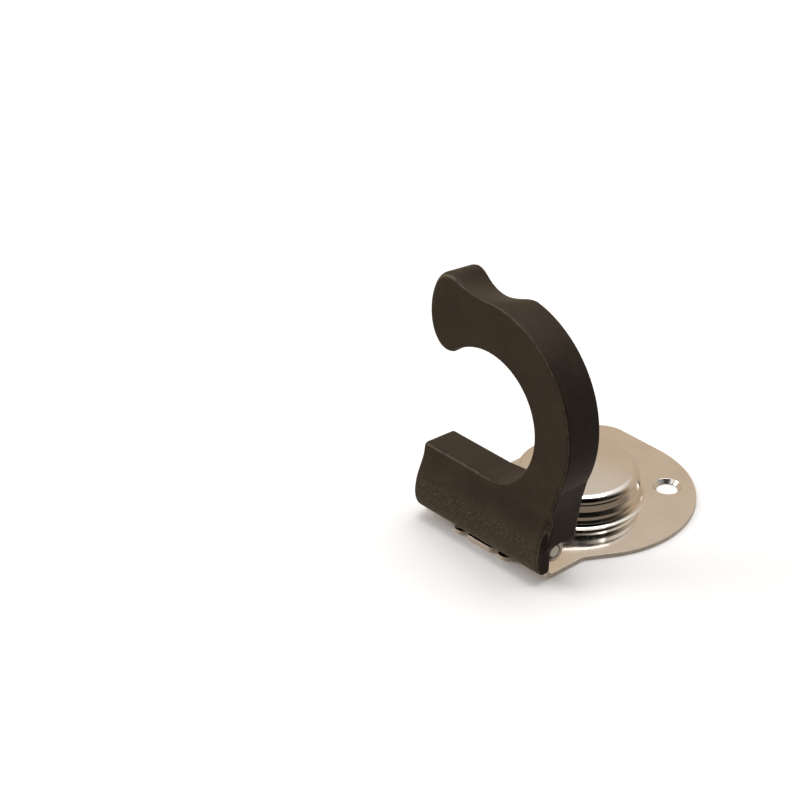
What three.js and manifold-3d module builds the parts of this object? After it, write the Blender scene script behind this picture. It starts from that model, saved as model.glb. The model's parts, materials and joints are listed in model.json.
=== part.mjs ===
// Fold-flat utility hook: a moulded C-shaped hook hinged on a stamped stainless plate.
// Millimetres, +Z up. The origin is on the mounting face, straight below the middle of the hinge axis.
// +X runs along the hinge, +Y from the hinge to the screw holes, and +Z out of the mounting surface.
// The hook is drawn folded flat (u = X, v = Y, w = Z, counted from the hinge axis) and then swung open.

import * as THREE from 'three';
import { mergeVertices } from 'three/addons/utils/BufferGeometryUtils.js';
import Module from 'manifold-3d';

const wasm = await Module();
wasm.setup();

// ---------- driving dimensions ----------

// Sheet-metal plate
const SHEET = 1.2;
const HALF_WIDTH = 26;
const DISC_RADIUS = 35.2;
const DISC_CENTRE_Y = 37.7;
const FAR_EDGE_Y = 72.9;
const FAR_CORNER_RADIUS = 10;
const NECK_Y = 12.3;
const NECK_ROUND = 0.9;
const NECK_MEETS_DISC_X = 29.6;

// Hinge
const HINGE_HEIGHT = 8.7;
const PIN_RADIUS = 2;
const PIN_CHAMFER = 0.3;
const KNUCKLE_BORE = 2.15;
const KNUCKLE_RADIUS = KNUCKLE_BORE + SHEET;
const CURL_END_ANGLE = -2.1;
const CURL_STEPS = 24;
const BEND_RADIUS = 3;
const OPEN_ANGLE = 87 * Math.PI / 180;

// Notch in the front wall, and the three tongues in front of it
const NOTCH_HALF_WIDTH = 16.3;
const NOTCH_CORNER = 4.4;
const TONGUE_BAND = 11.9;
const TONGUE_FRONT_Y = -5.4;
const MIDDLE_TONGUE = 5.7;
const TONGUE_GAP = 1;
const SIDE_TONGUE_RADIUS = 2.4;
const MIDDLE_TONGUE_RADIUS = 1.8;
const GAP_END_Y = -1.6;
const HEM_HEIGHT = 0.6;
const HEM_WIDTH = 1;

// Countersunk screw holes
const SCREW_X = 16.2;
const SCREW_Y = 59;
const SCREW_HOLE_RADIUS = 3.3;
const COUNTERSINK_RADIUS = 4.5;
const COUNTERSINK_FLOOR = 0.2;

// Deep-drawn boss: the radius and top height of each tier, from the highest down
const BOSS_CENTRE_Y = 36.1;
const BOSS_CROWN = 11.4;
const TIERS = [
  { radius: 18.2, top: 10.5, corner: 2.5 },
  { radius: 19.05, top: 7.2, corner: 0.55 },
  { radius: 19.6, top: 4.2, corner: 0.35 },
];
const STEP_FILLET = 0.2;
const BOSS_FOOT_FILLET = 1.5;
const BOSS_WALL = 1;
const BOSS_SEGMENTS = 56;

// Hook, from the hinge axis
const FACE = 7.1;
const BACK = -6.6;
const EDGE_ROUND = 1.5;
const C_CENTRE = new THREE.Vector2(0.6, 36);
const C_RADIUS = 20.3;
const C_START_ANGLE = 2.292;
const C_END_ANGLE = -1.35;
const ARM_CENTRE_V = 37.5;
const ARM_RADIUS = 35;
const ARM_ROOT_U = 27.4;
const BAR_LEFT = -25;
const BAR_RIGHT = 27.4;
const BAR_INNER_V = 15.8;
const BAR_BACK_V = 1.6;
const BAR_BACK_ROUND = 1;
const BAR_END_ROUND = 0.9;
const RAMP_LOW_V = 11;
const RAMP_LOW_W = 5.6;
const RAMP_HIGH_V = 18;
const HEEL_LEFT = -11.6;
const HEEL_RIGHT = 13.8;
const HEEL_RADIUS = 6.9;
const HEEL_FRONT_V = -6.1;
const POCKET_RADIUS = 3.9;
const POCKET_CLEARANCE = 0.5;
const CHEEK_U = HALF_WIDTH + 0.3;
const CHEEK_W = 2.7;
const CHEEK_RADIUS = 3;
const HOOK_BORE = 2.15;

// Finger scoop behind the tip
const SCOOP_RADIUS = 13;
const SCOOP_U = -4.5;
const SCOOP_DEEP_V = 68.2;
const SCOOP_SHALLOW_V = 72.8;
const SCOOP_SHALLOW_W = 5;

// ---------- solid helpers ----------

function solid(geometry) {
  const bare = geometry.index ? geometry.toNonIndexed() : geometry.clone();
  bare.deleteAttribute('normal');
  bare.deleteAttribute('uv');
  const merged = mergeVertices(bare, 1e-4);
  return new wasm.Manifold(new wasm.Mesh({
    numProp: 3,
    vertProperties: new Float32Array(merged.attributes.position.array),
    triVerts: new Uint32Array(merged.index.array),
  }));
}

function geometryOf(manifold) {
  const mesh = manifold.getMesh();
  const geometry = new THREE.BufferGeometry();
  geometry.setAttribute('position', new THREE.BufferAttribute(mesh.vertProperties, 3));
  geometry.setIndex(new THREE.BufferAttribute(mesh.triVerts, 1));
  geometry.computeVertexNormals();
  return geometry;
}

// A profile drawn in (Y, Z) and extruded along +X from one x to another.
function alongX(shape, from, to, options = {}) {
  const geometry = new THREE.ExtrudeGeometry(shape, { depth: to - from, bevelEnabled: false, ...options });
  geometry.applyMatrix4(new THREE.Matrix4().makeBasis(
    new THREE.Vector3(0, 1, 0), new THREE.Vector3(0, 0, 1), new THREE.Vector3(1, 0, 0)));
  geometry.translate(from, 0, 0);
  return geometry;
}

function alongZ(shape, from, to, curveSegments = 12) {
  const geometry = new THREE.ExtrudeGeometry(shape, { depth: to - from, bevelEnabled: false, curveSegments });
  geometry.translate(0, 0, from);
  return geometry;
}

function block(x0, x1, y0, y1, z0, z1) {
  const geometry = new THREE.BoxGeometry(x1 - x0, y1 - y0, z1 - z0);
  geometry.translate((x0 + x1) / 2, (y0 + y1) / 2, (z0 + z1) / 2);
  return geometry;
}

function rodAlongX(radius, from, to, segments = 40) {
  const geometry = new THREE.CylinderGeometry(radius, radius, to - from, segments);
  geometry.rotateZ(-Math.PI / 2);
  geometry.translate((from + to) / 2, 0, 0);
  return geometry;
}

// A lathed solid standing on +Z, from (radius, height) points that start and end on the axis.
function turned(points, segments) {
  const geometry = new THREE.LatheGeometry(points, segments);
  geometry.rotateX(Math.PI / 2);
  return geometry;
}

function arcPoints(cx, cy, radius, from, to, steps) {
  const points = [];
  for (let i = 0; i <= steps; i++) {
    const angle = from + (to - from) * i / steps;
    points.push(new THREE.Vector2(cx + radius * Math.cos(angle), cy + radius * Math.sin(angle)));
  }
  return points;
}

// ---------- base plate ----------

function plateOutline() {
  const meetY = DISC_CENTRE_Y - Math.sqrt(DISC_RADIUS ** 2 - NECK_MEETS_DISC_X ** 2);
  const start = Math.atan2(meetY - DISC_CENTRE_Y, NECK_MEETS_DISC_X);
  const cornerX = -HALF_WIDTH + FAR_CORNER_RADIUS;
  const cornerY = FAR_EDGE_Y - FAR_CORNER_RADIUS;
  const outline = new THREE.Shape();
  outline.moveTo(-HALF_WIDTH, BEND_RADIUS - KNUCKLE_RADIUS);
  outline.lineTo(HALF_WIDTH, BEND_RADIUS - KNUCKLE_RADIUS);
  const neck = new THREE.Vector2(HALF_WIDTH, NECK_Y);
  const meeting = new THREE.Vector2(NECK_MEETS_DISC_X, meetY);
  const leaving = meeting.clone().sub(neck).setLength(NECK_ROUND).add(neck);
  outline.lineTo(neck.x, neck.y - NECK_ROUND);
  outline.quadraticCurveTo(neck.x, neck.y, leaving.x, leaving.y);
  outline.lineTo(meeting.x, meeting.y);
  outline.absarc(0, DISC_CENTRE_Y, DISC_RADIUS, start, Math.PI / 2, false);
  outline.lineTo(cornerX, FAR_EDGE_Y);
  outline.absarc(cornerX, cornerY, FAR_CORNER_RADIUS, Math.PI / 2, Math.PI, false);
  return outline;
}

function sideTongue(side) {
  const inner = side * (MIDDLE_TONGUE + TONGUE_GAP);
  const outer = side * TONGUE_BAND;
  const left = Math.min(inner, outer);
  const right = Math.max(inner, outer);
  const rounding = Math.min(SIDE_TONGUE_RADIUS, (right - left) / 2);
  return tongueShape(left, right, rounding);
}

function tongueShape(left, right, rounding) {
  const shape = new THREE.Shape();
  shape.moveTo(right, 0);
  shape.lineTo(left, 0);
  shape.absarc(left + rounding, TONGUE_FRONT_Y + rounding, rounding, Math.PI, 1.5 * Math.PI, false);
  shape.absarc(right - rounding, TONGUE_FRONT_Y + rounding, rounding, 1.5 * Math.PI, 2 * Math.PI, false);
  return shape;
}

// The bend, the upright wall and the rolled knuckle, as one sheet thickness in (Y, Z).
function wallProfile() {
  const bendY = BEND_RADIUS - KNUCKLE_RADIUS;
  const overlapY = bendY + 1;
  const outer = [
    new THREE.Vector2(overlapY, 0),
    ...arcPoints(bendY, BEND_RADIUS, BEND_RADIUS, 1.5 * Math.PI, Math.PI, 8),
    ...arcPoints(0, HINGE_HEIGHT, KNUCKLE_RADIUS, Math.PI, CURL_END_ANGLE, CURL_STEPS),
  ];
  const inner = [
    ...arcPoints(0, HINGE_HEIGHT, KNUCKLE_BORE, CURL_END_ANGLE, Math.PI, CURL_STEPS),
    ...arcPoints(bendY, BEND_RADIUS, BEND_RADIUS - SHEET, Math.PI, 1.5 * Math.PI, 8),
    new THREE.Vector2(overlapY, SHEET),
  ];
  return new THREE.Shape([...outer, ...inner]);
}

// Everything that the notch removes from the wall, with round lower corners.
function notchCutter() {
  const top = HINGE_HEIGHT + 2 * KNUCKLE_RADIUS;
  const shape = new THREE.Shape();
  shape.moveTo(-TONGUE_BAND, -1);
  shape.lineTo(TONGUE_BAND, -1);
  shape.lineTo(TONGUE_BAND, 0);
  shape.absarc(TONGUE_BAND, NOTCH_CORNER, NOTCH_CORNER, -Math.PI / 2, 0, false);
  shape.lineTo(NOTCH_HALF_WIDTH, top);
  shape.lineTo(-NOTCH_HALF_WIDTH, top);
  shape.absarc(-TONGUE_BAND, NOTCH_CORNER, NOTCH_CORNER, Math.PI, 1.5 * Math.PI, false);
  const geometry = new THREE.ExtrudeGeometry(shape, { depth: 20, bevelEnabled: false, curveSegments: 8 });
  geometry.rotateX(Math.PI / 2);
  geometry.translate(0, 10, 0);
  return geometry;
}

// Outer boss surface from the crown down to the foot; inset moves it one wall thickness inwards.
function bossSkin(inset) {
  const points = [new THREE.Vector2(0, BOSS_CROWN - inset)];
  TIERS.forEach((tier, i) => {
    const corner = Math.max(tier.corner - inset, 0.15);
    const radius = tier.radius - inset;
    const top = tier.top - inset;
    points.push(...arcPoints(radius - corner, top - corner, corner, Math.PI / 2, 0, i === 0 ? 6 : 2));
    const next = TIERS[i + 1];
    const fillet = next ? STEP_FILLET + inset / 10 : BOSS_FOOT_FILLET + inset;
    const floor = next ? next.top - inset : SHEET - inset;
    points.push(...arcPoints(radius + fillet, floor + fillet, fillet, Math.PI, 1.5 * Math.PI, next ? 2 : 4));
  });
  return points;
}

// The solid under a boss skin, closed by a flat floor.
function bossBody(skin, floor) {
  const rim = skin[skin.length - 1].x;
  const points = [new THREE.Vector2(0, floor), new THREE.Vector2(rim, floor), ...[...skin].reverse()];
  return solid(turned(points, BOSS_SEGMENTS)).translate([0, BOSS_CENTRE_Y, 0]);
}

function screwHole(x) {
  const cutter = solid(turned([
    new THREE.Vector2(0, -1),
    new THREE.Vector2(SCREW_HOLE_RADIUS, -1),
    new THREE.Vector2(SCREW_HOLE_RADIUS, COUNTERSINK_FLOOR),
    new THREE.Vector2(COUNTERSINK_RADIUS, SHEET),
    new THREE.Vector2(COUNTERSINK_RADIUS, SHEET + 1),
    new THREE.Vector2(0, SHEET + 1),
  ], 32));
  return cutter.translate([x, SCREW_Y, 0]);
}

function basePlate() {
  const wall = solid(alongX(wallProfile(), -HALF_WIDTH, HALF_WIDTH)).subtract(solid(notchCutter()));
  const tongues = [sideTongue(-1), tongueShape(-MIDDLE_TONGUE, MIDDLE_TONGUE, MIDDLE_TONGUE_RADIUS), sideTongue(1)];
  let plate = solid(alongZ(plateOutline(), 0, SHEET, 30)).add(wall);
  for (const tongue of tongues) {
    plate = plate.add(solid(alongZ(tongue, 0, SHEET, 6)));
  }
  const hemLeft = -MIDDLE_TONGUE + MIDDLE_TONGUE_RADIUS;
  plate = plate.add(solid(block(
    hemLeft, -hemLeft, TONGUE_FRONT_Y, TONGUE_FRONT_Y + HEM_WIDTH, SHEET / 2, SHEET + HEM_HEIGHT)));
  for (const side of [-1, 1]) {
    const near = side * MIDDLE_TONGUE;
    const far = side * (MIDDLE_TONGUE + TONGUE_GAP);
    plate = plate.subtract(solid(block(
      Math.min(near, far), Math.max(near, far), TONGUE_FRONT_Y - 1, GAP_END_Y, -1, SHEET + 1)));
  }
  plate = plate.add(bossBody(bossSkin(0), 0)).subtract(bossBody(bossSkin(BOSS_WALL), -1));
  plate = plate.subtract(screwHole(-SCREW_X)).subtract(screwHole(SCREW_X));
  return geometryOf(plate);
}

// ---------- hinge pin ----------

function hingePin() {
  const end = HALF_WIDTH;
  const geometry = turned([
    new THREE.Vector2(0, -end),
    new THREE.Vector2(PIN_RADIUS - PIN_CHAMFER, -end),
    new THREE.Vector2(PIN_RADIUS, -end + PIN_CHAMFER),
    new THREE.Vector2(PIN_RADIUS, end - PIN_CHAMFER),
    new THREE.Vector2(PIN_RADIUS - PIN_CHAMFER, end),
    new THREE.Vector2(0, end),
  ], 40);
  geometry.rotateY(Math.PI / 2);
  return geometryOf(solid(geometry));
}

// ---------- hook ----------

// The same outline with even spacing and no short steps, so that its edges can be rounded.
function evenOutline(shape, spacing) {
  const points = shape.getSpacedPoints(Math.round(shape.getLength() / spacing));
  points.pop();
  return new THREE.Shape(points);
}

// Outline of the C-shaped arm in (u, v): up the outside, over the tip, and back down the inside.
function armOutline() {
  const shape = new THREE.Shape();
  shape.moveTo(2, 4);
  shape.lineTo(ARM_ROOT_U, 4);
  shape.bezierCurveTo(ARM_ROOT_U + 1.3, 10, 30.3, 17.5, 31.9, 23.5);
  shape.absarc(0, ARM_CENTRE_V, ARM_RADIUS, Math.atan2(23.5 - ARM_CENTRE_V, 31.9), 1.62, false);
  shape.bezierCurveTo(-7, 72.7, -10, 72.7, -13, 73.9);
  shape.bezierCurveTo(-17.4, 75.8, -22.1, 74.4, -23.9, 66.6);
  shape.bezierCurveTo(-25.1, 61.5, -24.3, 54.8, -20.8, 51.5);
  shape.bezierCurveTo(-18.8, 49.4, -15.5, 48.9, -12.9, 51);
  shape.absarc(C_CENTRE.x, C_CENTRE.y, C_RADIUS, C_START_ANGLE, C_END_ANGLE, true);
  shape.lineTo(2, BAR_INNER_V);
  shape.lineTo(2, 4);
  return evenOutline(shape, 2);
}

// Bar section in (v, w): lip, crest over the knuckles, scoop, ridge, and the flat underside.
function barProfile() {
  const shape = new THREE.Shape();
  shape.moveTo(BAR_BACK_V, BACK);
  shape.lineTo(BAR_INNER_V - BAR_BACK_ROUND, BACK);
  shape.absarc(BAR_INNER_V - BAR_BACK_ROUND, BACK + BAR_BACK_ROUND, BAR_BACK_ROUND, -Math.PI / 2, 0, false);
  shape.lineTo(BAR_INNER_V, 3.6);
  shape.quadraticCurveTo(BAR_INNER_V, 5.5, 13.6, 5.5);
  shape.bezierCurveTo(9, 5.5, 7, 8.7, 0.8, 8.7);
  shape.bezierCurveTo(-2.3, 8.7, -4.5, 7.5, -5.5, 5.9);
  shape.quadraticCurveTo(-6.2, 4.5, -5, CHEEK_W);
  shape.lineTo(BAR_BACK_V, CHEEK_W);
  shape.lineTo(BAR_BACK_V, BACK);
  return evenOutline(shape, 1);
}

// What is taken off the arm's foot so that its face runs down into the bar's scoop, in (v, w).
function armFootRamp() {
  const shape = new THREE.Shape();
  shape.moveTo(0, RAMP_LOW_W);
  shape.lineTo(RAMP_LOW_V, RAMP_LOW_W);
  shape.lineTo(RAMP_HIGH_V, FACE);
  shape.lineTo(RAMP_HIGH_V, FACE + 5);
  shape.lineTo(0, FACE + 5);
  return shape;
}

// The round heel between the knuckles, cut flat where it faces forwards.
function heel() {
  const barrel = solid(rodAlongX(HEEL_RADIUS, HEEL_LEFT, HEEL_RIGHT, 56));
  const keep = solid(block(HEEL_LEFT - 1, HEEL_RIGHT + 1, HEEL_FRONT_V, 8, -HEEL_RADIUS - 1, HEEL_RADIUS));
  return barrel.intersect(keep);
}

// Room for one knuckle, and for the wall below it through the hook's whole swing.
function knucklePocket(from, to, radius = POCKET_RADIUS, reach = POCKET_RADIUS) {
  const round = solid(rodAlongX(radius, from, to, 40));
  const sweep = solid(block(from, to, -20, 0, -20, reach));
  return round.add(sweep);
}

function scoopCutter() {
  const deep = new THREE.Vector3(SCOOP_U, SCOOP_DEEP_V, BACK);
  const shallow = new THREE.Vector3(SCOOP_U, SCOOP_SHALLOW_V, SCOOP_SHALLOW_W);
  const direction = shallow.clone().sub(deep).normalize();
  const outward = new THREE.Vector3(0, direction.z, -direction.y);
  const geometry = new THREE.CylinderGeometry(SCOOP_RADIUS, SCOOP_RADIUS, 60, 64);
  geometry.applyQuaternion(new THREE.Quaternion().setFromUnitVectors(new THREE.Vector3(0, 1, 0), direction));
  const centre = deep.add(shallow).multiplyScalar(0.5).add(outward.multiplyScalar(SCOOP_RADIUS));
  geometry.translate(centre.x, centre.y, centre.z);
  return solid(geometry);
}

function hook() {
  const armGeometry = new THREE.ExtrudeGeometry(armOutline(), {
    depth: FACE - BACK - 2 * EDGE_ROUND,
    curveSegments: 36,
    bevelThickness: EDGE_ROUND,
    bevelSize: EDGE_ROUND,
    bevelOffset: -EDGE_ROUND,
    bevelSegments: 3,
  });
  armGeometry.translate(0, 0, BACK + EDGE_ROUND);
  const arm = solid(armGeometry).subtract(solid(alongX(armFootRamp(), -40, 40)));
  const bar = solid(alongX(barProfile(), BAR_LEFT + BAR_END_ROUND, BAR_RIGHT - BAR_END_ROUND, {
    bevelEnabled: true,
    curveSegments: 8,
    bevelThickness: BAR_END_ROUND,
    bevelSize: BAR_END_ROUND,
    bevelOffset: -BAR_END_ROUND,
    bevelSegments: 3,
  }));
  const inner = NOTCH_HALF_WIDTH - POCKET_CLEARANCE;
  return geometryOf(arm.add(bar).add(heel())
    .subtract(knucklePocket(-40, -inner))
    .subtract(knucklePocket(inner, CHEEK_U))
    .subtract(knucklePocket(CHEEK_U - 0.1, 40, CHEEK_RADIUS, CHEEK_W))
    .subtract(solid(rodAlongX(HOOK_BORE, -40, 40, 40)))
    .subtract(scoopCutter()));
}

// ---------- assembly ----------

const stainless = { color: 0xbfb09c, roughness: 0.12, metalness: 1 };
const moulding = { color: 0x2b241f, roughness: 0.5, metalness: 0 };

function piece(name, geometry, finish) {
  const mesh = new THREE.Mesh(geometry, new THREE.MeshStandardMaterial(finish));
  mesh.name = name;
  return mesh;
}

const assembly = new THREE.Group();
assembly.add(piece('base_plate', basePlate(), stainless));

const pin = piece('hinge_pin', hingePin(), stainless);
pin.position.z = HINGE_HEIGHT;
assembly.add(pin);

const swing = new THREE.Group();
swing.position.z = HINGE_HEIGHT;
swing.rotation.x = OPEN_ANGLE;
swing.add(piece('hook', hook(), moulding));
assembly.add(swing);

export default assembly;
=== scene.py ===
"""Fold-flat utility hook: a dark moulded C-shaped hook hinged on a polished stainless plate.

Shapes are worked out in millimetres and scaled to metres when a mesh is made. The hook is drawn
folded flat in (u, v, w) from the hinge axis: u along the hinge, v towards the tip, w out of the
front face. It is then swung open about the hinge.
"""
import json
import math

import bpy
import numpy as np
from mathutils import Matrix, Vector
from mathutils.geometry import delaunay_2d_cdt


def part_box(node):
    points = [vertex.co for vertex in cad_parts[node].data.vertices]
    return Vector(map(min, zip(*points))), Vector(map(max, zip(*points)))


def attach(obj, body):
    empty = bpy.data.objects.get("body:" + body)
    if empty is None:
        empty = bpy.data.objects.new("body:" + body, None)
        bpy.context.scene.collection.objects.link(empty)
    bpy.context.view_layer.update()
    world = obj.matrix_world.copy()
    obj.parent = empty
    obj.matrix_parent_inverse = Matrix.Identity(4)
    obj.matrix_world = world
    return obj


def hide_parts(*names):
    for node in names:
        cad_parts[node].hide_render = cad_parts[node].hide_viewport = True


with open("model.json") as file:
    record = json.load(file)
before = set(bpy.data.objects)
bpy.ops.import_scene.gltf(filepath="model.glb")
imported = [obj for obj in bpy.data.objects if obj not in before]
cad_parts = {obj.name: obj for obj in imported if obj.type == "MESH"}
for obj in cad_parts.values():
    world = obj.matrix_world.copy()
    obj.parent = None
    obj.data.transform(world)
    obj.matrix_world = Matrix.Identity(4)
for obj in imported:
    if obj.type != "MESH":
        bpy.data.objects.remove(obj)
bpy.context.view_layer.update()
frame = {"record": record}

MM = 0.001

# ---------- driving dimensions, in millimetres ----------

HINGE_HEIGHT = frame["record"]["behaviour"]["joints"][0]["pos_m"][2] / MM
HALF_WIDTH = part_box("hinge_pin")[1][0] / MM
PIN_RADIUS = (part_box("hinge_pin")[1][1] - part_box("hinge_pin")[0][1]) / MM / 2
FAR_EDGE_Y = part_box("base_plate")[1][1] / MM
TONGUE_FRONT_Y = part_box("base_plate")[0][1] / MM

# Plate sheet
SHEET = 1.2
EDGE_ROUND = 0.16
EDGE_STEPS = 4
DISC_RADIUS = 35.2
DISC_CENTRE_Y = 37.7
FAR_CORNER_RADIUS = 10
NECK_Y = 12.3
NECK_ROUND = 0.9
NECK_MEETS_DISC_X = 29.6
LATTICE_MARGIN = 0.6

# Bend, wall and rolled knuckles
BEND_RADIUS = 3
KNUCKLE_BORE = 2.15
KNUCKLE_RADIUS = KNUCKLE_BORE + SHEET
BEND_Y = BEND_RADIUS - KNUCKLE_RADIUS
CURL_SWEEP = math.radians(300)
NOTCH_HALF_WIDTH = 16.3
NOTCH_CORNER = 4.4

# Tongues in front of the notch
TONGUE_BAND = 11.9
MIDDLE_TONGUE = 5.7
TONGUE_GAP = 1
GAP_END_Y = -1.6
SIDE_TONGUE_RADIUS = 2.4
MIDDLE_TONGUE_RADIUS = 1.8
HEM_HEIGHT = 0.6
HEM_START_Y = TONGUE_FRONT_Y + 1.5
HEM_FULL_Y = TONGUE_FRONT_Y + 0.7

# Boss. Each tier is (radius, middle height of its sloped ledge, corner radius, half the ledge's
# drop), from the highest down.
BOSS_CENTRE_Y = 36.1
BOSS_CROWN = 11.4
TIERS = [(18.7, 10.7, 2.4, 0), (19.2, 7.1, 1.5, 0.9), (19.5, 3.9, 1.5, 0.5)]
STEP_FILLET = 0.5
LEAST_CORNER = 0.15
FOOT_FILLET = 1.5
BOSS_WALL = 1
BOSS_SEGMENTS = 256

# Countersunk screw holes
SCREW_X = 16.2
SCREW_Y = 59
SCREW_HOLE_RADIUS = 3.3
COUNTERSINK_RADIUS = 4.5
COUNTERSINK_FLOOR = 0.1
SCREW_RIM = 0.3
SCREW_ROUNDS = [0.1, 0.1, 0.15]
SCREW_SEGMENTS = 96

# Pin. It's drawn thinner than its CAD by the play, so that a gap shows round it.
PIN_PLAY = 0.1
PIN_ROUND = 0.35
PIN_SEGMENTS = 96

# Hook: its thickness, open angle and edges
OPEN_ANGLE = math.radians(87)
FACE = 7.1
BACK = -6.6
DRAFT = 0.055
ARM_EDGE = 1.0
TIP_EDGE = 2.4
TIP_EDGE_U = (-8, -18)

# Arm: its outside is a circle set in by the trim, and its inside is the C
ARM_CENTRE_V = 37.5
ARM_RADIUS = 35
ARM_TRIM = 0.35
ARM_ROOT_U = 27.4
ARM_ROOT_END = (31.7, 23.5)
ARM_END_ANGLE = 1.62
ARM_FOOT_U = -14
C_CENTRE = (0.6, 36)
C_RADIUS = 20.3
C_START_ANGLE = 2.292
C_END_ANGLE = -1.35

# Bar, and the ramp by which the arm's face rises from it: over RAMP_V on the right, later on the
# left, and changing between the two over RAMP_U
BAR_LEFT = -25
BAR_RIGHT = 27.4
BAR_INNER_V = 15.8
BAR_BACK_V = 1.6
BAR_BACK_ROUND = 0.7
BAR_END_ROUND = 1.2
RAMP_LOW_W = 4.5
RAMP_HIGH_W = FACE + 0.3
RAMP_V = (10, 19)
RAMP_LEFT_V = (19, 25)
RAMP_U = (-9, 9)

# Heel under the bar, pockets for the knuckles, cheek over the wall's end, and bore
HEEL_LEFT = -11.6
HEEL_RIGHT = 13.8
HEEL_RADIUS = 6.9
HEEL_FRONT_V = -6.1
HEEL_ROUND = 0.4
POCKET_RADIUS = 3.9
POCKET_INNER_U = NOTCH_HALF_WIDTH - 0.5
CHEEK_U = HALF_WIDTH + 0.3
CHEEK_LAP = 0.2
CHEEK_W = 2.7
CHEEK_RADIUS = 3.5
HOOK_BORE = 2.15

# Finger scoop behind the tip
SCOOP_RADIUS = 13
SCOOP_DEEP = (-4.5, 68.2, BACK)
SCOOP_SHALLOW = (-4.5, 72.8, 5)

# How far the hook's forms flow into each other. The arm's is at the bar's left, then what the
# right adds.
ARM_BLEND = (0.1, 2.6)
RAMP_BLEND = 0.6
HEEL_BLEND = 0.8
POCKET_BLEND = 0.3
SCOOP_BLEND = 3.0

# The hook's mesh: cell size, and the (u, v, w) box that holds it
HOOK_CELL = 0.45
HOOK_LOW = (-28, HEEL_FRONT_V - 2, BACK - 1.5)
HOOK_HIGH = (ARM_RADIUS + 1.5, 77, 10.5)

# Heights out of the hook's face where the lighter specks on the bar's crest start and are full: partly
# wear, partly a painted highlight
WORN_SHEEN_FROM_W = 6.6
WORN_SHEEN_FULL_W = 8.2

# ---------- outlines and profiles ----------


def arc(cx, cy, radius, start, end, steps=24):
    """Points on a circle from one angle to another, ends included."""
    angle = np.linspace(start, end, steps + 1)
    return np.c_[cx + radius * np.cos(angle), cy + radius * np.sin(angle)]


def bezier(*controls, steps=24):
    """Points on a quadratic or cubic Bezier curve."""
    t = np.linspace(0, 1, steps + 1)[:, None]
    degree = len(controls) - 1
    return sum(
        math.comb(degree, i) * t**i * (1 - t) ** (degree - i) * np.array(p, float)
        for i, p in enumerate(controls)
    )


def closed(*parts):
    """One closed outline from several runs of points, with repeated points dropped."""
    points = np.vstack([np.atleast_2d(np.array(p, float)) for p in parts])
    step = np.linalg.norm(points - np.roll(points, 1, axis=0), axis=1)
    return points[step > 1e-6]


def rounded_path(corners, radii, steps=8):
    """Points and left-hand normals along a path whose inner corners are rounded."""
    corners = np.array(corners, float)
    points, normals = [], []

    def add(p, n):
        points.append(p)
        normals.append(n)

    def left_of(direction):
        return np.array([-direction[1], direction[0]])

    directions = np.diff(corners, axis=0)
    directions /= np.linalg.norm(directions, axis=1)[:, None]
    add(corners[0], left_of(directions[0]))
    for i, radius in enumerate(radii, start=1):
        before, after = directions[i - 1], directions[i]
        turn = math.atan2(before[0] * after[1] - before[1] * after[0], before @ after)
        side = math.copysign(1, turn)
        start = corners[i] - before * radius * math.tan(abs(turn) / 2)
        centre = start + left_of(before) * side * radius
        for t in np.linspace(0, 1, steps + 1):
            heading = math.atan2(before[1], before[0]) + t * turn
            normal = left_of((math.cos(heading), math.sin(heading)))
            add(centre - normal * side * radius, normal)
    add(corners[-1], left_of(directions[-1]))
    return np.array(points), np.array(normals)


def fade(x, start, end):
    """A smooth step from 0 at the start to 1 at the end."""
    t = np.clip((x - start) / (end - start), 0, 1)
    return t * t * (3 - 2 * t)


# ---------- mesh helpers ----------


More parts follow.
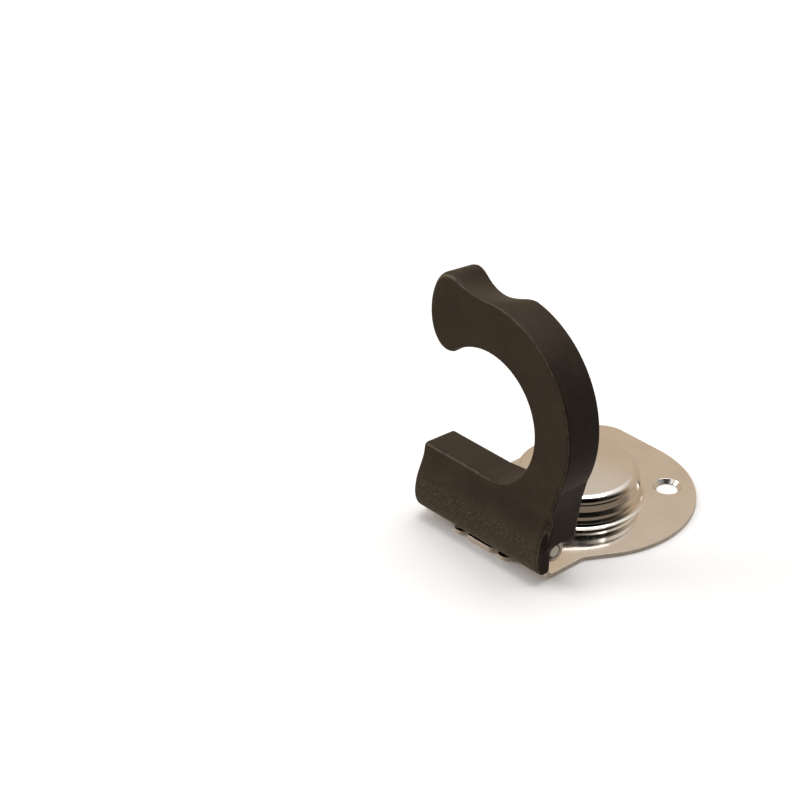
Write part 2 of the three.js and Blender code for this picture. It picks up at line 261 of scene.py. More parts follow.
class Surface:
    """Vertices with exact normals, faces and a finish number for each face."""

    def __init__(self):
        self.points = np.zeros((0, 3))
        self.normals = np.zeros((0, 3))
        self.faces = []
        self.finishes = []

    def add(self, points, normals, faces, finish=0):
        faces = np.array(faces)
        corner = points[faces]
        face_normal = np.cross(corner[:, 2] - corner[:, 0], corner[:, -1] - corner[:, 1])
        wrong = np.einsum("ij,ij->i", face_normal, normals[faces].sum(axis=1)) < 0
        faces[wrong] = faces[wrong][:, ::-1]
        start = len(self.points)
        self.points = np.vstack([self.points, points])
        self.normals = np.vstack([self.normals, normals])
        self.faces.extend((faces + start).tolist())
        self.finishes.extend([finish] * len(faces))

    def grid(self, points, normals, rows, columns, finish=0, wrap=False):
        """Quads over a rows by columns lattice. wrap joins the last column to the first."""
        index = np.arange(rows * columns).reshape(rows, columns)
        right = np.roll(index, -1, axis=1) if wrap else index[:, 1:]
        left = index if wrap else index[:, :-1]
        quads = np.stack([left[:-1], right[:-1], right[1:], left[1:]], axis=-1).reshape(-1, 4)
        self.add(points, normals, quads, finish)

    def turned(self, path, centre, segments, finish=0):
        """A surface of revolution on a vertical axis from (radius, height) points and normals."""
        (radius, height), (out, up) = path[0].T, path[1].T
        angle = np.linspace(0, 2 * math.pi, segments, endpoint=False)
        cos, sin = np.cos(angle), np.sin(angle)
        flat = np.ones_like(angle)
        points = np.stack([
            centre[0] + radius[:, None] * cos, centre[1] + radius[:, None] * sin,
            height[:, None] * flat], axis=-1)
        normals = np.stack([out[:, None] * cos, out[:, None] * sin, up[:, None] * flat], axis=-1)
        self.grid(points.reshape(-1, 3), normals.reshape(-1, 3), len(radius), segments, finish, wrap=True)

    def fill(self, outline, holes, extra, height, up, finish=0):
        """A flat face between an outline and round holes, with extra points inside it."""
        loops = [outline, *holes]
        flat = np.vstack([*loops, extra]) if len(extra) else np.vstack(loops)
        edges, start = [], 0
        for loop in loops:
            n = len(loop)
            edges += [(start + i, start + (i + 1) % n) for i in range(n)]
            start += n
        verts, _, triangles, *_ = delaunay_2d_cdt([Vector(p) for p in flat], edges, [], 0, 1e-5)
        points = np.array([(p.x, p.y) for p in verts])
        triangles = np.array(triangles)
        centre = points[triangles].mean(axis=1)
        keep = contains(outline, centre)
        for hole in holes:
            keep &= ~contains(hole, centre)
        points = np.c_[points, np.full(len(points), height)]
        normals = np.tile((0.0, 0.0, up), (len(points), 1))
        self.add(points, normals, triangles[keep], finish)

    def object(self, name, materials):
        """The Blender object, with coincident vertices welded."""
        _, first, new = np.unique(
            np.round(self.points, 3), axis=0, return_index=True, return_inverse=True)
        new = new.reshape(-1)
        faces, finishes = [], []
        for face, finish in zip(self.faces, self.finishes):
            ring = [int(new[i]) for i in face]
            ring = [v for k, v in enumerate(ring) if v != ring[k - 1]]
            if len(set(ring)) == len(ring) > 2:
                faces.append(ring)
                finishes.append(finish)
        mesh = bpy.data.meshes.new(name)
        mesh.from_pydata((self.points[first] * MM).tolist(), [], faces)
        for material in materials:
            mesh.materials.append(material)
        mesh.polygons.foreach_set("material_index", finishes)
        mesh.polygons.foreach_set("use_smooth", [True] * len(faces))
        mesh.update()
        normals = self.normals[first]
        normals = normals / np.linalg.norm(normals, axis=1)[:, None]
        mesh.normals_split_custom_set_from_vertices(normals.tolist())
        piece = bpy.data.objects.new(name, mesh)
        bpy.context.scene.collection.objects.link(piece)
        return piece


def contains(outline, points):
    """Whether each point is inside a closed outline."""
    inside = np.zeros(len(points), bool)
    x, y = points[:, 0], points[:, 1]
    for (x0, y0), (x1, y1) in zip(outline, np.roll(outline, -1, axis=0)):
        if y0 != y1:
            crosses = (y0 > y) != (y1 > y)
            inside ^= crosses & (x < x0 + (y - y0) / (y1 - y0) * (x1 - x0))
    return inside


# ---------- base plate ----------

BEND_LENGTH = BEND_RADIUS * math.pi / 2
WALL_LENGTH = HINGE_HEIGHT - BEND_RADIUS
CURL_LENGTH = KNUCKLE_RADIUS * CURL_SWEEP
STRIP_LENGTH = BEND_LENGTH + WALL_LENGTH + CURL_LENGTH


def sheet_path(run):
    """Place on the sheet's outer face in (Y, Z), and the inward normal, run mm past the bend line."""
    bend = 1.5 * math.pi - np.clip(run, 0, BEND_LENGTH) / BEND_RADIUS
    rise = np.clip(run - BEND_LENGTH, 0, WALL_LENGTH)
    roll = math.pi - np.clip(run - BEND_LENGTH - WALL_LENGTH, 0, None) / KNUCKLE_RADIUS
    rolled = run > BEND_LENGTH + WALL_LENGTH
    angle = np.where(rolled, roll, bend)
    radius = np.where(rolled, KNUCKLE_RADIUS, BEND_RADIUS)
    centre_y = np.where(rolled, 0, BEND_Y)
    centre_z = np.where(rolled, HINGE_HEIGHT, BEND_RADIUS + rise)
    y = centre_y + radius * np.cos(angle)
    z = centre_z + radius * np.sin(angle)
    return y, z, -np.cos(angle), -np.sin(angle)


def bend_up(points, normals):
    """Bends the flat blank's two outer strips up into the wall and round into the knuckles."""
    run = BEND_Y - points[:, 1]
    bent = (run > 0) & (np.abs(points[:, 0]) > TONGUE_BAND + 1e-6)
    y, z, inward_y, inward_z = sheet_path(np.where(bent, run, 0))
    depth = points[:, 2]
    new_points = points.copy()
    new_points[:, 1] = np.where(bent, y + inward_y * depth, points[:, 1])
    new_points[:, 2] = np.where(bent, z + inward_z * depth, depth)
    along, through = normals[:, 1], normals[:, 2]
    new_normals = normals.copy()
    new_normals[:, 1] = np.where(bent, along * inward_z + through * inward_y, along)
    new_normals[:, 2] = np.where(bent, through * inward_z - along * inward_y, through)
    return new_points, new_normals


def raise_hem(points):
    """Thickens the middle tongue's front, where the sheet is pressed up."""
    ramp = fade(points[:, 1], HEM_START_Y, HEM_FULL_Y)
    middle = np.abs(points[:, 0]) < MIDDLE_TONGUE + 0.01
    points[:, 2] += np.where(middle, ramp * HEM_HEIGHT * np.clip(points[:, 2] / SHEET, 0, 1), 0)


def strip_runs():
    """Distances past the bend line where the strips have a row of vertices."""
    return np.unique(np.round(np.concatenate([
        np.linspace(0, BEND_LENGTH, 17),
        np.linspace(BEND_LENGTH, BEND_LENGTH + WALL_LENGTH, 8),
        np.linspace(BEND_LENGTH + WALL_LENGTH, STRIP_LENGTH, 73)]), 6))


def notch_edge(run):
    """Half-width of the notch at each row of the strips."""
    height = sheet_path(run)[1]
    below_top = NOTCH_CORNER - np.clip(height, 0, NOTCH_CORNER)
    edge = TONGUE_BAND + np.sqrt(NOTCH_CORNER**2 - below_top**2)
    past_corner = (run > BEND_LENGTH) & (height >= NOTCH_CORNER)
    rolled = run > BEND_LENGTH + WALL_LENGTH
    return np.where(past_corner | rolled, NOTCH_HALF_WIDTH, edge)


def tongue(left, right, rounding):
    """One tongue's side, round front corners and other side."""
    front = TONGUE_FRONT_Y + rounding
    return np.vstack([
        arc(left + rounding, front, rounding, math.pi, 1.5 * math.pi, 12),
        arc(right - rounding, front, rounding, 1.5 * math.pi, 2 * math.pi, 12)])


def blank_outline():
    """The whole sheet's flat outline, anticlockwise, with the strips drawn straight."""
    runs = strip_runs()
    outer = np.c_[np.full(len(runs), HALF_WIDTH), BEND_Y - runs]
    inner = np.c_[notch_edge(runs), BEND_Y - runs]
    mirror = np.array([-1, 1])
    gap = MIDDLE_TONGUE + TONGUE_GAP
    meet_y = DISC_CENTRE_Y - math.sqrt(DISC_RADIUS**2 - NECK_MEETS_DISC_X**2)
    start = math.atan2(meet_y - DISC_CENTRE_Y, NECK_MEETS_DISC_X)
    neck = np.array([HALF_WIDTH, NECK_Y])
    leaving = np.array([NECK_MEETS_DISC_X, meet_y]) - neck
    leaving /= np.linalg.norm(leaving)
    corner_x = -HALF_WIDTH + FAR_CORNER_RADIUS
    corner_y = FAR_EDGE_Y - FAR_CORNER_RADIUS
    return closed(
        outer * mirror,
        (inner * mirror)[::-1],
        tongue(-TONGUE_BAND, -gap, SIDE_TONGUE_RADIUS),
        [(-gap, GAP_END_Y), (-MIDDLE_TONGUE, GAP_END_Y)],
        tongue(-MIDDLE_TONGUE, MIDDLE_TONGUE, MIDDLE_TONGUE_RADIUS),
        [(MIDDLE_TONGUE, GAP_END_Y), (gap, GAP_END_Y)],
        tongue(gap, TONGUE_BAND, SIDE_TONGUE_RADIUS),
        inner,
        outer[::-1],
        bezier(neck - (0, NECK_ROUND), neck, neck + leaving * NECK_ROUND, steps=10),
        arc(0, DISC_CENTRE_Y, DISC_RADIUS, start, math.pi / 2, 110),
        arc(corner_x, corner_y, FAR_CORNER_RADIUS, math.pi / 2, math.pi, 32))


def outward(outline):
    """Outward direction at each point of an anticlockwise outline, longer at sharp corners."""
    before = outline - np.roll(outline, 1, axis=0)
    after = np.roll(outline, -1, axis=0) - outline
    sides = []
    for run in (before, after):
        run = run / np.linalg.norm(run, axis=1)[:, None]
        sides.append(np.c_[run[:, 1], -run[:, 0]])
    total = sides[0] + sides[1]
    size = np.maximum((total**2).sum(axis=1) / 2, 0.5)
    return total / size[:, None]


def strip_lattice():
    """Points inside the two strips, so that they bend smoothly."""
    points = []
    for run in strip_runs()[1:-1]:
        low = float(notch_edge(np.array([run]))[0]) + LATTICE_MARGIN
        for x in np.linspace(low, HALF_WIDTH - LATTICE_MARGIN, 6):
            points += [(x, BEND_Y - run), (-x, BEND_Y - run)]
    return points


def hem_lattice():
    """Points inside the middle tongue, so that its pressed-up front is smooth."""
    return [
        (x, y)
        for y in np.linspace(HEM_START_Y + 0.2, TONGUE_FRONT_Y + 0.4, 9)
        for x in np.linspace(LATTICE_MARGIN - MIDDLE_TONGUE, MIDDLE_TONGUE - LATTICE_MARGIN, 13)
        if abs(x) < MIDDLE_TONGUE - 1.2 or y > TONGUE_FRONT_Y + 1
    ]


def boss_path(inset, sheet_face):
    """The boss's profile from its crown out to its foot, moved in by inset, with its normals."""
    corners, radii = [(0, BOSS_CROWN - inset)], []
    for i, (radius, middle, corner, drop) in enumerate(TIERS):
        floor = TIERS[i + 1][1] + TIERS[i + 1][3] - inset if i + 1 < len(TIERS) else sheet_face
        corners += [(radius - inset, middle - drop - inset), (radius - inset, floor)]
        radii += [max(corner - inset, LEAST_CORNER), STEP_FILLET + inset / 10]
    radii[-1] = FOOT_FILLET + (SHEET if inset else 0)
    foot = TIERS[-1][0] - inset + radii[-1]
    corners.append((foot, sheet_face))
    return rounded_path(corners, radii, steps=12), foot


def circle(centre, radius, segments):
    return arc(*centre, radius, 0, 2 * math.pi, segments)[:-1]


def edge_profile():
    """The cut edge from underside to top: inset, height, and the normal's outward and upward parts."""
    turns = [(math.sin(a), math.cos(a)) for a in np.linspace(0, math.pi / 2, EDGE_STEPS + 1)]
    low = [(EDGE_ROUND * (1 - sin), EDGE_ROUND * (1 - cos), sin, -cos) for sin, cos in turns]
    high = [(EDGE_ROUND * (1 - cos), SHEET - EDGE_ROUND * (1 - sin), cos, sin) for sin, cos in turns]
    return low + high


def plate_surface():
    plate = Surface()
    outline = blank_outline()
    out = outward(outline)
    profile = edge_profile()
    rows, normals = [], []
    unit = out / np.linalg.norm(out, axis=1)[:, None]
    for inset, height, sideways, up in profile:
        rows.append(np.c_[outline - out * inset, np.full(len(outline), height)])
        normals.append(np.c_[unit * sideways, np.full(len(outline), up)])
    plate.grid(np.vstack(rows), np.vstack(normals), len(profile), len(outline), finish=1, wrap=True)

    boss_centre = (0, BOSS_CENTRE_Y)
    top_path, top_foot = boss_path(0, SHEET)
    under_path, under_foot = boss_path(BOSS_WALL, 0)
    plate.turned(top_path, boss_centre, BOSS_SEGMENTS)
    plate.turned((under_path[0], -under_path[1]), boss_centre, BOSS_SEGMENTS)

    rim, under_rim = COUNTERSINK_RADIUS + SCREW_RIM, SCREW_HOLE_RADIUS + SCREW_RIM
    sink = rounded_path(
        [(under_rim, 0), (SCREW_HOLE_RADIUS, 0), (SCREW_HOLE_RADIUS, COUNTERSINK_FLOOR),
         (COUNTERSINK_RADIUS, SHEET), (rim, SHEET)], SCREW_ROUNDS, steps=5)
    holes = [(-SCREW_X, SCREW_Y), (SCREW_X, SCREW_Y)]
    for hole in holes:
        plate.turned(sink, hole, SCREW_SEGMENTS)

    inner = outline - out * EDGE_ROUND
    extra = strip_lattice() + hem_lattice()
    for foot, rim_radius, height, up in ((top_foot, rim, SHEET, 1), (under_foot, under_rim, 0, -1)):
        rings = [circle(boss_centre, foot, BOSS_SEGMENTS)]
        rings += [circle(hole, rim_radius, SCREW_SEGMENTS) for hole in holes]
        plate.fill(inner, rings, extra, height, up)
    raise_hem(plate.points)
    plate.points, plate.normals = bend_up(plate.points, plate.normals)
    return plate


# ---------- hinge pin ----------


def pin_surface():
    """A rod along X with small chamfer rounds at its ends."""
    rod = Surface()
    radius = PIN_RADIUS - PIN_PLAY
    path = rounded_path(
        [(0, -HALF_WIDTH), (radius, -HALF_WIDTH), (radius, HALF_WIDTH), (0, HALF_WIDTH)],
        [PIN_ROUND, PIN_ROUND], steps=8)
    rod.turned((path[0], -path[1]), (0, 0), PIN_SEGMENTS)
    for attribute in ("points", "normals"):
        x, y, z = getattr(rod, attribute).T
        setattr(rod, attribute, np.c_[z, x, y])
    rod.points[:, 2] += HINGE_HEIGHT
    return rod


# ---------- hook ----------


class Outline:
    """Signed distance to a closed outline, negative inside, looked up on a fine lattice."""

    def __init__(self, points, cell=0.25, margin=5.0):
        self.low = points.min(axis=0) - margin
        self.cell = cell
        size = np.ceil((points.max(axis=0) + margin - self.low) / cell).astype(int) + 1
        x, y = np.meshgrid(*(self.low[i] + cell * np.arange(size[i]) for i in (0, 1)), indexing="ij")
        place = np.c_[x.ravel(), y.ravel()]
        best = np.full(len(place), np.inf)
        for a, b in zip(points, np.roll(points, -1, axis=0)):
            edge = b - a
            along = np.clip((place - a) @ edge / (edge @ edge), 0, 1)
            best = np.minimum(best, ((place - a - along[:, None] * edge) ** 2).sum(axis=1))
        sign = np.where(contains(points, place), -1, 1)
        self.values = (sign * np.sqrt(best)).reshape(size)

    def __call__(self, x, y):
        fx = np.clip((x - self.low[0]) / self.cell, 0, self.values.shape[0] - 1.001)
        fy = np.clip((y - self.low[1]) / self.cell, 0, self.values.shape[1] - 1.001)
        i, j = fx.astype(int), fy.astype(int)
        s, t = fx - i, fy - j
        v = self.values
        return ((1 - s) * ((1 - t) * v[i, j] + t * v[i, j + 1])
                + s * ((1 - t) * v[i + 1, j] + t * v[i + 1, j + 1]))


def smooth_union(a, b, blend):
    overlap = np.maximum(blend - np.abs(a - b), 0) / blend
    return np.minimum(a, b) - overlap**2 * blend / 4


def smooth_cut(a, cutter, blend):
    return -smooth_union(-a, cutter, blend)


def rounded_prism(outline, x, low, high, rounding):
    """An outline extruded from low to high, with its end edges rounded."""
    a = outline + rounding
    b = np.abs(x - (low + high) / 2) - (high - low) / 2 + rounding
    return np.minimum(np.maximum(a, b), 0) + np.hypot(np.maximum(a, 0), np.maximum(b, 0)) - rounding


def arm_outline():
    """The C-shaped arm in (u, v): up the outside, over the tip and back down the inside."""
    start = math.atan2(ARM_ROOT_END[1] - ARM_CENTRE_V, ARM_ROOT_END[0])
    return closed(
        [(ARM_FOOT_U, 4), (ARM_ROOT_U, 4)],
        bezier((ARM_ROOT_U, 4), (ARM_ROOT_U + 1.3, 10), (30.2, 17.5), ARM_ROOT_END),
        arc(0, ARM_CENTRE_V, ARM_RADIUS - ARM_TRIM, start, ARM_END_ANGLE, 60)[1:],
        bezier((-1.7, 72.3), (-7, 72.6), (-10, 72.6), (-13, 73.8))[1:],
        bezier((-13, 73.8), (-17.4, 75.7), (-21.9, 74.3), (-23.7, 66.6)),
        bezier((-23.7, 66.6), (-24.9, 61.5), (-24.1, 54.9), (-20.6, 51.6)),
        bezier((-20.6, 51.6), (-18.7, 49.5), (-15.5, 48.9), (-12.9, 51.0)),
        arc(*C_CENTRE, C_RADIUS, C_START_ANGLE, C_END_ANGLE, 60),
        [(2, BAR_INNER_V), (ARM_FOOT_U, 11)])


def bar_outline():
    """The bar's section in (v, w): lip, crest over the knuckles, scoop, ridge and flat back."""
    return closed(
        [(BAR_BACK_V, BACK)],
        arc(BAR_INNER_V - BAR_BACK_ROUND, BACK + BAR_BACK_ROUND, BAR_BACK_ROUND, -math.pi / 2, 0),
        bezier((BAR_INNER_V, 3.9), (BAR_INNER_V, 5.4), (14.2, 5.5)),
        bezier((14.2, 5.5), (9.4, 5.6), (7, 8.7), (0.8, 8.7)),
        bezier((0.8, 8.7), (-2.3, 8.7), (-4.5, 7.5), (-5.5, 5.9)),
        bezier((-5.5, 5.9), (-6.2, 4.5), (-5, CHEEK_W)),
        [(BAR_BACK_V, CHEEK_W)])


ARM = Outline(arm_outline())
BAR = Outline(bar_outline())


def scoop_distance(p):
    """The finger scoop behind the tip, as a round bar laid across the back edge."""
    deep, shallow = np.array(SCOOP_DEEP, float), np.array(SCOOP_SHALLOW, float)
    direction = (shallow - deep) / np.linalg.norm(shallow - deep)
    off = np.array([0, direction[2], -direction[1]])
    offset = p - (deep + off * SCOOP_RADIUS)
    return np.linalg.norm(offset - (offset @ direction)[:, None] * direction, axis=1) - SCOOP_RADIUS


def hook_distance(p):
    """Signed distance to the hook's surface at (u, v, w) points."""
    u, v, w = p.T
    edge = ARM_EDGE + (TIP_EDGE - ARM_EDGE) * fade(u, *TIP_EDGE_U)
    arm = rounded_prism(ARM(u, v) + DRAFT * (FACE - w), w, BACK, FACE, edge)
    rightward = fade(u, *RAMP_U)
    rise = np.maximum(fade(v, *RAMP_V) * rightward, fade(v, *RAMP_LEFT_V))
    arm = smooth_cut(arm, RAMP_LOW_W + (RAMP_HIGH_W - RAMP_LOW_W) * rise - w, RAMP_BLEND)
    bar = rounded_prism(BAR(v, w), u, BAR_LEFT, BAR_RIGHT, BAR_END_ROUND)
    body = smooth_union(arm, bar, ARM_BLEND[0] + ARM_BLEND[1] * rightward)

    from_axis = np.hypot(v, w)
    heel_section = np.maximum(from_axis - HEEL_RADIUS, HEEL_FRONT_V - v)
    heel = rounded_prism(heel_section, u, HEEL_LEFT, HEEL_RIGHT, HEEL_ROUND)
    body = smooth_union(body, np.maximum(heel, w - HEEL_RADIUS), HEEL_BLEND)

    pocket = np.minimum(from_axis - POCKET_RADIUS, np.maximum(v, w - POCKET_RADIUS))
    pocket = np.maximum(pocket, np.maximum(POCKET_INNER_U - np.abs(u), u - CHEEK_U))
    cheek = np.minimum(from_axis - CHEEK_RADIUS, np.maximum(v, w - CHEEK_W))
    cheek = np.maximum(cheek, CHEEK_U - CHEEK_LAP - u)
    body = smooth_cut(body, np.minimum(pocket, cheek), POCKET_BLEND)
    body = smooth_cut(body, from_axis - HOOK_BORE, POCKET_BLEND)
    return smooth_cut(body, scoop_distance(p), SCOOP_BLEND)


def settle(points, distance, rounds=3, reach=0.02):
    """Moves points onto the surface where the distance is zero. Returns them with its normals."""
    for _ in range(rounds):
        value = distance(points)
        slope = np.stack([
            distance(points + reach * axis) - distance(points - reach * axis) for axis in np.eye(3)
        ], axis=1) / (2 * reach)
        size = np.maximum((slope**2).sum(axis=1), 0.2)
        points = points - (value / size)[:, None] * slope
    return points, slope / np.linalg.norm(slope, axis=1)[:, None]


def surface_net(distance, low, high, cell):
    """Quads round the surface where the distance is zero, one vertex in each cell it crosses."""
    axes = [np.arange(a, b + cell, cell) for a, b in zip(low, high)]
    lattice = np.stack(np.meshgrid(*axes, indexing="ij"), axis=-1)
    value = distance(lattice.reshape(-1, 3)).reshape(lattice.shape[:3])
    inside = value < 0
    cells = np.array(value.shape) - 1
    total = np.zeros((*cells, 3))
    count = np.zeros(cells)
    crossings = []
    for axis in range(3):
        first = tuple(slice(0, -1) if i == axis else slice(None) for i in range(3))
        second = tuple(slice(1, None) if i == axis else slice(None) for i in range(3))
        crossed = inside[first] != inside[second]
        share = np.where(crossed, value[first] / np.where(crossed, value[first] - value[second], 1), 0)
        place = lattice[first] + share[..., None] * (lattice[second] - lattice[first])
        place *= crossed[..., None]
        b, c = [i for i in range(3) if i != axis]
        for db in (0, 1):
            for dc in (0, 1):
                window = [slice(None)] * 3
                window[b] = slice(db, db + cells[b])
                window[c] = slice(dc, dc + cells[c])
                total += place[tuple(window)]
                count += crossed[tuple(window)]
        crossings.append((b, c, crossed))
    number = np.full(cells, -1)
    used = count > 0
    number[used] = np.arange(used.sum())
    points = total[used] / count[used][:, None]
    quads = []
    for b, c, crossed in crossings:
        at = np.argwhere(crossed)
        at = at[(at[:, b] > 0) & (at[:, c] > 0) & (at[:, b] < cells[b]) & (at[:, c] < cells[c])]
        ring = []
        for db, dc in ((1, 1), (0, 1), (0, 0), (1, 0)):
            cell_at = at.copy()
            cell_at[:, b] -= db
            cell_at[:, c] -= dc
            ring.append(number[tuple(cell_at.T)])
        quads.append(np.stack(ring, axis=1))
    return points, np.vstack(quads)


def even_out(points, quads, share=0.6):
    """Moves each vertex part of the way to the middle of its neighbours."""
    total = np.zeros_like(points)
    count = np.zeros(len(points))
    for k in range(4):
        a, b = quads[:, k], quads[:, (k + 1) % 4]
        np.add.at(total, a, points[b])
        np.add.at(total, b, points[a])
        np.add.at(count, a, 1)
        np.add.at(count, b, 1)
    return points + share * (total / count[:, None] - points)


def hook_surface():
    points, quads = surface_net(hook_distance, HOOK_LOW, HOOK_HIGH, HOOK_CELL)
    for _ in range(2):
        points, normals = settle(even_out(points, quads), hook_distance)
    u, v, w = points.T
    cos, sin = math.cos(OPEN_ANGLE), math.sin(OPEN_ANGLE)
    placed = np.c_[u, v * cos - w * sin, HINGE_HEIGHT + v * sin + w * cos]
    nu, nv, nw = normals.T
    turned = np.c_[nu, nv * cos - nw * sin, nv * sin + nw * cos]
    hook = Surface()
    hook.add(placed, turned, quads)
    return hook


# ---------- materials ----------


class Nodes:
    """A short way to write the node tree of a material or a world."""

    def __init__(self, owner, shader="Principled BSDF"):
        owner.use_nodes = True
        self.owner = owner
        self.tree = owner.node_tree
        self.shader = self.tree.nodes[shader]
        coordinates = self.new("TexCoord").outputs
        self.place = coordinates["Object"]
        self.facing = coordinates["Normal"]
        self.direction = coordinates["Generated"]

    def new(self, kind, inputs=None, **settings):
        node = self.tree.nodes.new("ShaderNode" + kind)
        for key, value in settings.items():
            setattr(node, key, value)
        for key, value in (inputs or {}).items():
            self.link(value, node.inputs[key])
        return node

    def link(self, value, socket):
        if isinstance(value, bpy.types.NodeSocket):
            self.tree.links.new(value, socket)
        else:
            socket.default_value = value

    def noise(self, size_mm, detail=3.0, roughness=0.5, stretch=None):
        """Noise whose features are about size_mm across."""
        place = self.place
        if stretch:
            place = self.new("Mapping", {"Vector": place, "Scale": stretch}).outputs["Vector"]
        inputs = {"Vector": place, "Scale": 1 / (size_mm * MM), "Detail": detail, "Roughness": roughness}
        return self.new("TexNoise", inputs).outputs["Fac"]

    def ramp(self, value, *stops):
        node = self.new("ValToRGB", {"Fac": value})
        elements = node.color_ramp.elements
        while len(elements) < len(stops):
            elements.new(0.5)
        for element, (place, colour) in zip(elements, stops):
            element.position = place
            element.color = (*colour, 1)
        return node.outputs["Color"]

    def maths(self, operation, first, second):
        return self.new("Math", {0: first, 1: second}, operation=operation).outputs["Value"]

    def mix(self, factor, first, second):
        return self.new("MixRGB", {"Fac": factor, "Color1": first, "Color2": second}).outputs["Color"]

    def spread(self, value, low, high, to_low, to_high, curve="LINEAR"):
        return self.new("MapRange", {
            "Value": value, "From Min": low, "From Max": high, "To Min": to_low, "To Max": to_high,
        }, interpolation_type=curve).outputs["Result"]

    def bump(self, height, strength, distance_mm, under=None):
        inputs = {"Height": height, "Strength": strength, "Distance": distance_mm * MM}
        if under is not None:
            inputs["Normal"] = under
        return self.new("Bump", inputs).outputs["Normal"]

    def set(self, **inputs):
        for key, value in inputs.items():
            self.link(value, self.shader.inputs[key.replace("_", " ")])


def polished_stainless():
    n = Nodes(bpy.data.materials.new("polished stainless"))
    cloud = n.noise(9, detail=2)
    fine = n.noise(0.5, detail=4, stretch=(1, 0.15, 1))
    n.set(
        Base_Color=n.ramp(cloud, (0.3, (0.74, 0.69, 0.63)), (0.7, (0.79, 0.74, 0.68))),
        Metallic=1.0,
        Roughness=n.spread(fine, 0.3, 0.75, 0.07, 0.13),
        Normal=n.bump(n.noise(14, detail=1), 0.05, 0.25))
    return n.owner


def cut_stainless():
    n = Nodes(bpy.data.materials.new("cut stainless edge"))
    streak = n.noise(0.35, detail=3, stretch=(1, 1, 0.2))
    n.set(
        Base_Color=n.ramp(streak, (0.3, (0.48, 0.42, 0.355)), (0.75, (0.62, 0.55, 0.47))),
        Metallic=0.35,
        Roughness=n.spread(streak, 0.3, 0.8, 0.3, 0.45),
        Normal=n.bump(streak, 0.12, 0.04))
    return n.owner


def pin_stainless():
    n = Nodes(bpy.data.materials.new("pin stainless"))
    grain = n.noise(0.3, detail=4)
    n.set(
        Base_Color=n.ramp(grain, (0.3, (0.60, 0.55, 0.485)), (0.75, (0.76, 0.71, 0.64))),
        Metallic=0.4,
        Roughness=n.spread(grain, 0.3, 0.8, 0.28, 0.45),
        Normal=n.bump(grain, 0.2, 0.05))
    return n.owner


def dark_moulding():
    n = Nodes(bpy.data.materials.new("dark moulding"))
    mottle = n.noise(2.2, detail=5, roughness=0.65)
    grain = n.noise(0.35, detail=4, roughness=0.6)
    cloud = n.noise(14, detail=2)
    tone = n.maths("MULTIPLY", mottle, cloud)
    # face is the moulding's colour; side is a darker copy of it, painted shade for the faces that point
    # along X.
    face = n.ramp(tone, (0.12, (0.0245, 0.0152, 0.0080)), (0.45, (0.0395, 0.0268, 0.0152)))
    side = n.ramp(tone, (0.12, (0.0125, 0.0080, 0.0062)), (0.45, (0.0230, 0.0160, 0.0125)))

    facing = n.new("SeparateXYZ", {"Vector": n.facing}).outputs
    # sideways masks that painted shade: the square of the normal's X part.
    sideways = n.maths("MULTIPLY", facing["X"], facing["X"])
    # frontal and corner mark the rounded edges round the front face, where the colour is lightened:
    # partly rubbed wear, partly a painted highlight along the edge.
    frontal = n.maths("MULTIPLY", facing["Y"], facing["Y"])
    corner = n.maths("MULTIPLY", frontal, n.maths("SUBTRACT", 1.0, frontal))
    patchy = n.spread(mottle, 0.35, 0.6, 0.2, 1)
    rubbed_wear_and_highlight = n.maths("MULTIPLY", n.spread(corner, 0.18, 0.25, 0, 0.8), patchy)

    # The bar's forward crest gets lighter specks: partly wear, partly a painted highlight on the crest.
    forward = n.new("SeparateXYZ", {"Vector": n.place}).outputs["Y"]
    crest = n.spread(forward, -WORN_SHEEN_FROM_W * MM, -WORN_SHEEN_FULL_W * MM, 0, 1)
    speck = n.spread(n.noise(0.45, detail=4, roughness=0.7), 0.48, 0.64, 0, 0.75)
    # worn is the light colour of both the rubbed edges and the crest specks: wear and painted highlight
    # together.
    worn_and_sheen = (0.105, 0.088, 0.055, 1)
    # The painted shade is laid on here, then the painted edge highlight with rubbed wear.
    moulded_with_painted_light = n.mix(sideways, face, side)
    moulded_with_painted_light = n.mix(rubbed_wear_and_highlight, moulded_with_painted_light, worn_and_sheen)
    n.set(
        Base_Color=n.mix(n.maths("MULTIPLY", crest, speck), moulded_with_painted_light, worn_and_sheen),
        Roughness=n.spread(mottle, 0.3, 0.75, 0.42, 0.58),
        Specular_IOR_Level=0.15,
        Normal=n.bump(grain, 0.22, 0.05, under=n.bump(mottle, 0.10, 0.12)))
    return n.owner


# ---------- pieces ----------

polished, cut_edge = polished_stainless(), cut_stainless()

plate = plate_surface().object("plate_stamping", [polished, cut_edge])
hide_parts("base_plate")
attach(plate, "plate")

pin = pin_surface().object("pin_rod", [pin_stainless()])
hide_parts("hinge_pin")
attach(pin, "plate")

hook = hook_surface().object("hook_moulding", [dark_moulding()])
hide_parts("hook")
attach(hook, "hook")

# ---------- floor, light and camera ----------

CAMERA_PLACE = Vector((0.4356, -0.4304, 0.4075))
CAMERA_AIM = Vector((-0.07885, 0.03465, 0.0))
CAMERA_LENS = 111.26

# Floor, in metres
FLOOR_HALF_WIDTH = 6
FLOOR_DROP = 0.0002

# Directions in which the studio is dark, for the steel to mirror, and the least light near the horizon
DARK_SIDE = (0.95, -0.30, 0.0)
DARK_ROOM = (0.593, -0.586, 0.555)
HORIZON_GLOW = 0.4


def aim(thing, place, target):
    thing.location = place
    thing.rotation_euler = (Vector(target) - Vector(place)).to_track_quat("-Z", "Y").to_euler()


def soft_light(name, place, target, size, power):
    data = bpy.data.lights.new(name, "AREA")
    data.shape = "RECTANGLE"
    data.size = data.size_y = size
    data.energy = power
    light = bpy.data.objects.new(name, data)
    bpy.context.scene.collection.objects.link(light)
    aim(light, place, target)


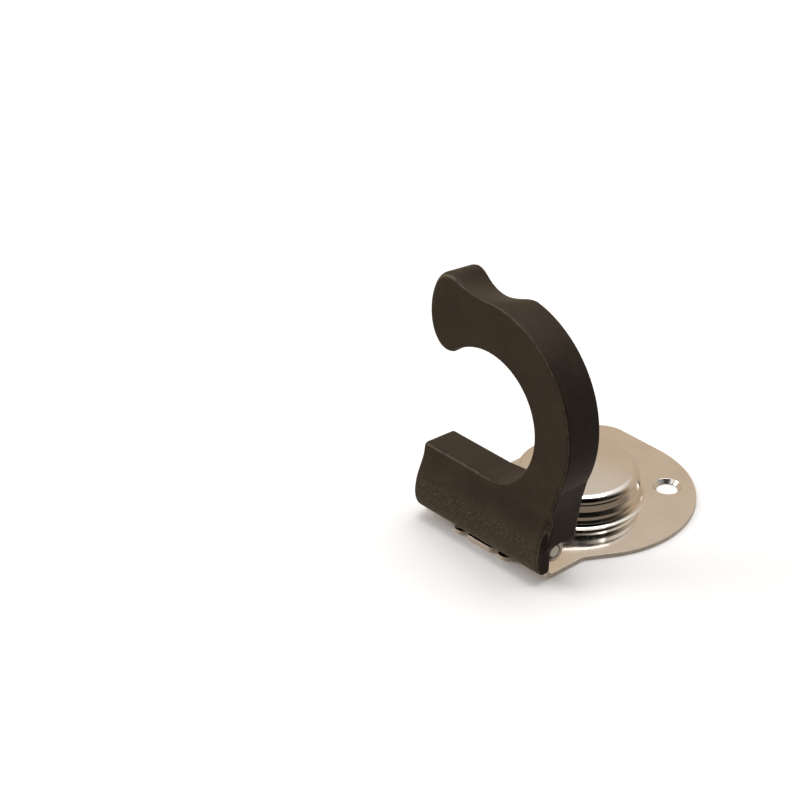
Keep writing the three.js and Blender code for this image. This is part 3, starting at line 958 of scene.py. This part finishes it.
def pale_floor():
    """A plain floor just under the plate. The steel doesn't mirror it."""
    mesh = bpy.data.meshes.new("floor")
    a, b = -FLOOR_HALF_WIDTH, FLOOR_HALF_WIDTH
    mesh.from_pydata([(a, a, 0), (b, a, 0), (b, b, 0), (a, b, 0)], [], [(0, 1, 2, 3)])
    n = Nodes(bpy.data.materials.new("pale floor"))
    n.set(Base_Color=(0.9, 0.9, 0.9, 1), Roughness=0.9, Specular_IOR_Level=0.1)
    mesh.materials.append(n.owner)
    floor = bpy.data.objects.new("floor", mesh)
    floor.location.z = -FLOOR_DROP
    floor.visible_glossy = False
    bpy.context.scene.collection.objects.link(floor)


def studio_world():
    """A tan room low down and white light above, with a dark side and a dark patch."""
    n = Nodes(bpy.data.worlds.new("studio"), "Background")
    height = n.new("SeparateXYZ", {"Vector": n.direction}).outputs["Z"]

    def dimmed(towards, near, full, to):
        """A strength that falls from 1 to the given value towards a direction."""
        dot = n.new("VectorMath", {0: n.direction, 1: towards}, operation="DOT_PRODUCT")
        return n.spread(dot.outputs["Value"], near, full, 1, to, curve="SMOOTHSTEP")

    shade = n.maths("MULTIPLY", dimmed(DARK_SIDE, 0.05, 0.7, 0.03), dimmed(DARK_ROOM, 0.74, 0.86, 0.08))
    glow = n.spread(height, 0, 0.14, HORIZON_GLOW, 0, curve="SMOOTHSTEP")
    n.set(
        Color=n.ramp(
            height,
            (0.0, (0.58, 0.48, 0.38)),
            (0.52, (0.66, 0.54, 0.41)),
            (0.62, (0.74, 0.70, 0.65)),
            (0.74, (1.0, 1.0, 1.0)),
            (0.88, (1.2, 1.2, 1.2))),
        Strength=n.maths("MAXIMUM", shade, glow))
    bpy.context.scene.world = n.owner


pale_floor()
studio_world()
soft_light("key", (-0.9, -0.9, 0.9), target=(0, 0, 0.03), size=0.8, power=9)
soft_light("overhead", (0.1, 0.2, 1.6), target=(0, 0, 0), size=1.2, power=14)

scene = bpy.context.scene
scene.view_settings.view_transform = "Standard"
camera_data = bpy.data.cameras.new("camera")
camera_data.lens = CAMERA_LENS
camera_data.sensor_width = 36
camera = bpy.data.objects.new("camera", camera_data)
scene.collection.objects.link(camera)
aim(camera, CAMERA_PLACE, CAMERA_AIM)
scene.camera = camera
